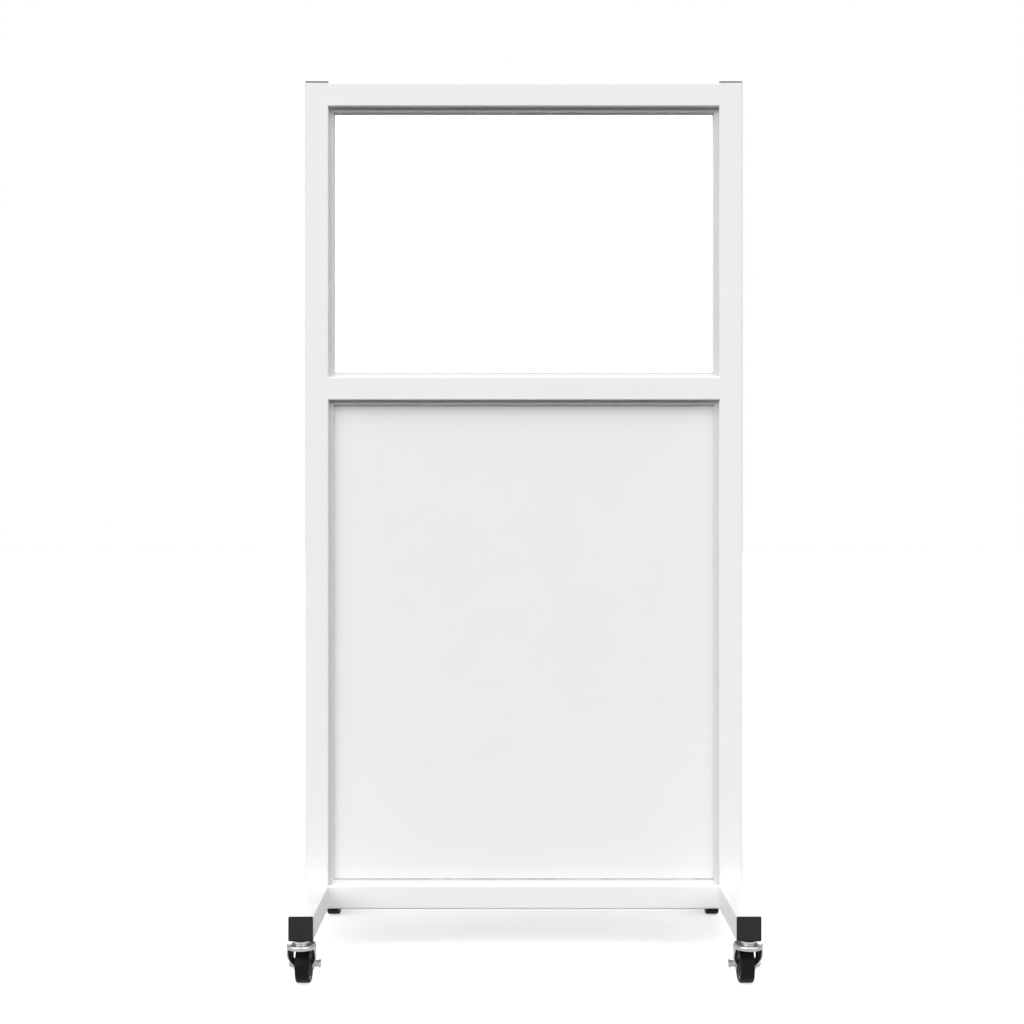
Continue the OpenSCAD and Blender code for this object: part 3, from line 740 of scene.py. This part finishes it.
PLATING = brushed_metal("bright_plating", (0.37, 0.36, 0.352), (0.3, 0.29, 0.282), 0.32, 0.25)


def thicken(piece, sheet, edge):
    """Gives a sheet its thickness and softened edges, half to each side."""
    solid = piece.modifiers.new("sheet", "SOLIDIFY")
    solid.thickness = sheet
    solid.offset = 0
    soft = piece.modifiers.new("edges", "BEVEL")
    soft.width = edge
    soft.segments = 2
    soft.limit_method = "ANGLE"
    soft.angle_limit = math.radians(50)


for corner in CORNERS:
    bm = bmesh.new()
    fork_crown(bm)
    at_corner(bm, corner)
    crown = make_piece(f"{corner}_fork_crown", bm, f"{corner}_swivel", PLATING)
    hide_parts(f"{corner}_caster_fork")
    for side, name in ((-1, "inboard"), (1, "outboard")):
        bm = bmesh.new()
        fork_arm(bm, side)
        at_corner(bm, corner)
        arm = make_piece(f"{corner}_{name}_arm", bm, f"{corner}_swivel", PLATING)
        thicken(arm, SHEET, 0.0005)
        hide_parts(f"{corner}_caster_fork")


# Axles: a hexagon-headed bolt through fork, spacer and sleeve, with a locking nut outboard.
# The hexagons are chamfered as forged, and the bolt's threads show past the nut.
HEX_AF = 0.015


def hexagon(bm, x0, x1, chamfer_low, chamfer_high):
    """Hexagon along X from x0 to x1 about the axle, its corners taken off at either end."""
    count = 48
    across = HEX_AF / 2
    flat_share, lean = 0.94, 0.6
    around = [2 * math.pi * i / count for i in range(count)]
    reach = [across / math.cos((a + math.pi / 6) % (math.pi / 3) - math.pi / 6) for a in around]

    def ring(x, limit, slope):
        points = []
        for r, a in zip(reach, around):
            kept = r if limit is None else min(r, limit)
            points.append((
                x + slope * (r - across) * lean, TRAIL + kept * math.cos(a), AXLE_Z + kept * math.sin(a)
            ))
        return points

    rings = []
    if chamfer_low:
        rings.append(ring(x0, across * flat_share, 0))
    rings.append(ring(x0, None, 1 if chamfer_low else 0))
    rings.append(ring(x1, None, -1 if chamfer_high else 0))
    if chamfer_high:
        rings.append(ring(x1, across * flat_share, 0))
    skin(bm, rings)


def spin_on_axle(bm, profile, steps, closed=True):
    """Turns a section, given as (radius, place along X), about the axle."""
    before = len(bm.verts)
    spin(bm, profile, steps, closed)
    bm.verts.ensure_lookup_table()
    lay = Matrix.Translation((0, TRAIL, AXLE_Z)) @ Matrix.Rotation(math.pi / 2, 4, "Y")
    bmesh.ops.transform(bm, matrix=lay, verts=bm.verts[before:])


def axle_parts():
    """Bolt, spacer, nut and sleeve of one axle, about the origin's caster."""
    out = FORK_HALF + SHEET
    spacer, head, nut, proud = 0.009, 0.005, 0.0095, 0.0015
    bolt_r, pitch, play = 0.00476, 0.00125, 0.0001
    washer_r, washer = 0.0071, 0.0004
    spacer_r, chamfer = 0.0066, 0.0004
    collar_r, collar_round = 0.0067, 0.0012
    thread_deep, sleeve_wall = 0.0007, 0.0018
    bm = bmesh.new()
    head_x = -out - spacer - head
    seat = head_x + head
    hexagon(bm, head_x, seat - washer, True, False)
    spin_on_axle(bm, [(0, seat - washer), (washer_r, seat - washer), (washer_r, seat), (0, seat)], 48, False)
    spin_on_axle(bm, [
        (bolt_r + play, -out - spacer), (spacer_r - chamfer, -out - spacer),
        (spacer_r, -out - spacer + chamfer), (spacer_r, -out - chamfer),
        (spacer_r - chamfer, -out), (bolt_r + play, -out),
    ], 40)
    hexagon(bm, out + 0.0002, out + nut * 0.72, True, True)
    collar = [(bolt_r, out + nut * 0.7), (collar_r, out + nut * 0.7)]
    collar += rounded((collar_r - collar_round, out + nut - collar_round), collar_round, 0, 90, 4)
    collar += [(bolt_r, out + nut)]
    spin_on_axle(bm, collar, 40)
    end = out + nut + proud
    thread = [(0, seat), (bolt_r - play, seat), (bolt_r - play, out + 0.002)]
    for k in range(6):
        start = out + 0.0035 + k * pitch
        thread += [(bolt_r - thread_deep, start), (bolt_r, start + 0.4 * pitch)]
        thread += [(bolt_r, start + 0.5 * pitch)]
    thread += [(bolt_r - 0.0009, end), (0, end)]
    spin_on_axle(bm, thread, 40, False)
    spin_on_axle(bm, [
        (bolt_r + play, -FORK_HALF), (bolt_r + sleeve_wall, -FORK_HALF),
        (bolt_r + sleeve_wall, FORK_HALF), (bolt_r + play, FORK_HALF),
    ], 40)
    return bm


AXLE_PLATING = brushed_metal("axle_plating", (0.4, 0.39, 0.38), (0.3, 0.29, 0.28), 0.34, 0.4)
for corner in CORNERS:
    bm = at_corner(axle_parts(), corner)
    axle = make_piece(f"{corner}_axle_bolt", bm, f"{corner}_swivel", AXLE_PLATING, crease=30)
    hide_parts(f"{corner}_axle_set")


# Wheel centres: one moulding of dark grey nylon, with a hub that runs on the sleeve, a web
# stiffened by six ribs on each face, and the rim that the tyre is bonded to.
def wheel_centre():
    """Hub, web, rim and ribs of one wheel, about the origin's caster."""
    hub_r, hub_half, bore = 0.013, 0.0175, 0.00662
    rim_r, rim_half, rim_wall = 0.0291, 0.013, 0.0032
    web_half, rib_half, rib_wall, ribs = 0.0045, 0.01, 0.0024, 6
    edge, chamfer = 0.0012, 0.0005
    bm = bmesh.new()
    hub = [(bore, -hub_half + chamfer), (bore + chamfer, -hub_half)]
    hub += rounded((hub_r - edge, -hub_half + edge), edge, 270, 360, 3)
    hub += rounded((hub_r - edge, hub_half - edge), edge, 0, 90, 3)
    hub += [(bore + chamfer, hub_half), (bore, hub_half - chamfer)]
    spin_on_axle(bm, hub, 64)
    inner = rim_r - rim_wall
    section = [(hub_r - 0.001, -web_half - edge), (hub_r + 0.0014, -web_half)]
    section += rounded((inner - edge, -web_half - edge), edge, 90, 0, 3)
    section += [(inner + 0.0004, -rim_half + chamfer), (inner + 0.0009, -rim_half)]
    section += [(rim_r - chamfer, -rim_half), (rim_r, -rim_half + chamfer)]
    mirrored = [(r, -z) for r, z in reversed(section)]
    spin_on_axle(bm, section + mirrored, 72)
    draft = ((0.001, rib_wall + 0.0006), (rib_half - 0.0006, rib_wall), (rib_half, rib_wall - 0.0008))
    low_r, high_r = hub_r - 0.0008, inner + 0.0006
    for i in range(ribs):
        turn = Matrix.Translation((0, TRAIL, AXLE_Z)) @ Matrix.Rotation(2 * math.pi * i / ribs, 4, "X")
        for face in (-1, 1):
            rings = []
            for x, wall in draft:
                rings.append([
                    turn @ Vector((face * x, -wall / 2, low_r)), turn @ Vector((face * x, wall / 2, low_r)),
                    turn @ Vector((face * x, wall / 2, high_r)), turn @ Vector((face * x, -wall / 2, high_r)),
                ])
            skin(bm, rings)
    return bm


WHEEL_NYLON = moulded_plastic(
    "wheel_nylon", (0.1, 0.1, 0.102), (0.17, 0.17, 0.17), 0.45, grain=0.001, depth=0.00008
)
for corner in CORNERS:
    bm = at_corner(wheel_centre(), corner)
    name = f"{corner}_wheel_centre"
    core = make_piece(name, bm, f"{corner}_wheel", WHEEL_NYLON, crease=40)
    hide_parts(f"{corner}_wheel_core")


# Tyres: black rubber bonded round the wheel centre, with rounded shoulders, a faint mould
# line round the middle, and a tread greyed by the floor that it has rolled over.
def rolled_rubber():
    """Black tyre rubber, scuffed grey and dusty."""
    material, tree, shader = start_material("tyre_rubber")
    scuffs = grown_noise(tree, 140.0, detail=6.0, roughness=0.65, stretch=(0.4, 1, 1))
    worn = spread(tree, scuffs, 0.42, 0.7)
    colour = blend_colour(tree, worn, (0.004, 0.004, 0.004), (0.009, 0.0088, 0.0085))
    colour = blend_colour(tree, use(tree, DUST_AND_SHADE, amount=0.08), colour, (0.06, 0.058, 0.055))
    tree.links.new(colour, shader.inputs["Base Color"])
    shader.inputs["Specular IOR Level"].default_value = 0.08
    rough = use(tree, HANDLING, middle=0.5, spread=0.3, smear_size=0.012)
    tree.links.new(rough, shader.inputs["Roughness"])
    raise_surface(tree, shader, grown_noise(tree, 1300.0, detail=4.0), 0.5, 0.00012)
    return material


def tyre_ring():
    """Section of the tyre turned about the axle, its tread a little crowned."""
    outer, inner, half, shoulder, crown = 0.0381, 0.02915, 0.0145, 0.003, 0.0003
    line_high, line_half, flat_half = 0.00005, 0.0006, 0.0045
    tread = outer - line_high
    bm = bmesh.new()
    section = [(inner, -half + 0.002), (inner + 0.0004, -half + 0.0013), (inner + 0.0016, -half + 0.0004)]
    section += rounded((outer - crown - shoulder, -half + shoulder), shoulder, 270, 360, 7)
    section += [(tread, -flat_half), (tread, -line_half), (outer, 0.0)]
    section += [(tread, line_half), (tread, flat_half)]
    section += rounded((outer - crown - shoulder, half - shoulder), shoulder, 0, 90, 7)
    section += [(inner + 0.0016, half - 0.0004), (inner + 0.0004, half - 0.0013), (inner, half - 0.002)]
    spin_on_axle(bm, section, 96)
    return bm


TYRE_RUBBER = rolled_rubber()
for corner in CORNERS:
    bm = at_corner(tyre_ring(), corner)
    tyre = make_piece(f"{corner}_rolled_tyre", bm, f"{corner}_wheel", TYRE_RUBBER, crease=60)
    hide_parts(f"{corner}_tyre")


# Floor and studio: a seamless pale floor under an even white surround, with a broad soft
# light at either side in front, the left one stronger, one overhead and one low behind.
floor = bpy.data.objects.new("studio_floor", bpy.data.meshes.new("studio_floor"))
bpy.context.scene.collection.objects.link(floor)
floor_half = 30.0
floor_corners = [(x * floor_half, y * floor_half, 0) for x, y in ((-1, -1), (1, -1), (1, 1), (-1, 1))]
floor.data.from_pydata(floor_corners, [], [(0, 1, 2, 3)])
FLOOR_BOUNCE = 0.03


def looked_at(tree):
    """1 for rays that come from the eye, straight or by a mirror or glass, and 0 for bounced light."""
    path = place(tree, "ShaderNodeLightPath")
    seen = sum_of(tree, "MAXIMUM", path.outputs["Is Camera Ray"], path.outputs["Is Glossy Ray"])
    return sum_of(tree, "MAXIMUM", seen, path.outputs["Is Transmission Ray"])


def floor_paint():
    """Pale to the eye, with some light of its own, but dark enough not to light the undersides."""
    material, tree, shader = start_material("floor_paint")
    seen = looked_at(tree)
    colour = blend_colour(tree, seen, (FLOOR_BOUNCE, FLOOR_BOUNCE, FLOOR_BOUNCE), (0.7, 0.7, 0.7))
    tree.links.new(colour, shader.inputs["Base Color"])
    glow = blend_colour(tree, seen, (0, 0, 0), (0.6, 0.6, 0.6))
    tree.links.new(glow, shader.inputs["Emission Color"])
    shader.inputs["Emission Strength"].default_value = 1.0
    shader.inputs["Roughness"].default_value = 1.0
    shader.inputs["Specular IOR Level"].default_value = 0.0
    return material


floor.data.materials.append(floor_paint())

world = bpy.data.worlds.new("studio")
bpy.context.scene.world = world
world.use_nodes = True
sky = world.node_tree
background = sky.nodes["Background"]
FILL = 0.05
background.inputs["Color"].default_value = (1, 1, 1, 1)
sky.links.new(spread(sky, looked_at(sky), 0.0, 1.0, FILL, 1.0), background.inputs["Strength"])


def softbox(name, azimuth, elevation, width, power):
    """A far, broad light that reaches the whole object alike. Its width is an angle in degrees."""
    lamp = bpy.data.objects.new(name, bpy.data.lights.new(name, "SUN"))
    lamp.data.energy = power
    lamp.data.angle = math.radians(width)
    a, e = math.radians(azimuth), math.radians(elevation)
    towards = Vector((math.sin(a) * math.cos(e), -math.cos(a) * math.cos(e), math.sin(e)))
    lamp.rotation_euler = towards.to_track_quat("Z", "Y").to_euler()
    bpy.context.scene.collection.objects.link(lamp)


softbox("left_softbox", -44, 32, 54, 2.42)
softbox("right_softbox", 44, 32, 54, 1.6)
softbox("overhead_softbox", 0, 66, 48, 1.3)
softbox("back_softbox", 180, 3, 40, 1.6)

bpy.context.scene.view_settings.view_transform = "Standard"
